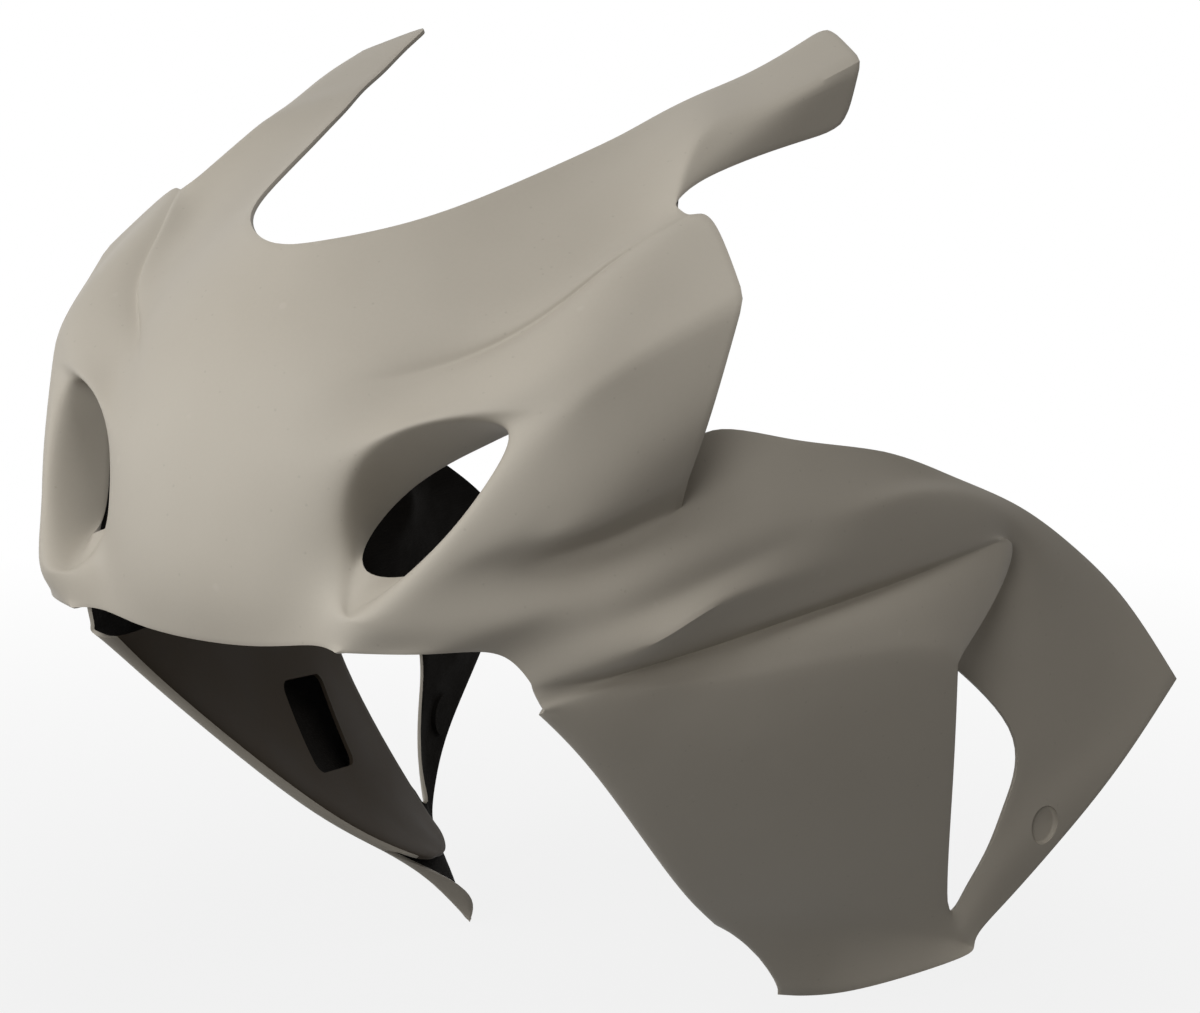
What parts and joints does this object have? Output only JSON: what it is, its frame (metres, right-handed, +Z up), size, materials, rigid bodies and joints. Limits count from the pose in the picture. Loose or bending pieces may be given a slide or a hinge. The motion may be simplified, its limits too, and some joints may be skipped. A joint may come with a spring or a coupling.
{
  "type": "motorcycle fairing",
  "caption": "Front cowl of a racing motorcycle: a thin moulded skin with a beak, oblique intakes, arms beside the screen opening and hollow front panels.",
  "frame": {"origin": "middle of the bounding box in X and Y, at the level of the lowest point of the feet", "axes": "+X forward to the beak, +Y to the left side of the machine, +Z up as fitted"},
  "size_m": [0.6656, 0.574, 0.6237],
  "materials": {
    "gel_coat": "satin unpainted gel coat over glass-fibre laminate"
  },
  "bodies": {
    "root": {"fairing_shell": "gel_coat"}
  },
  "joints": []
}
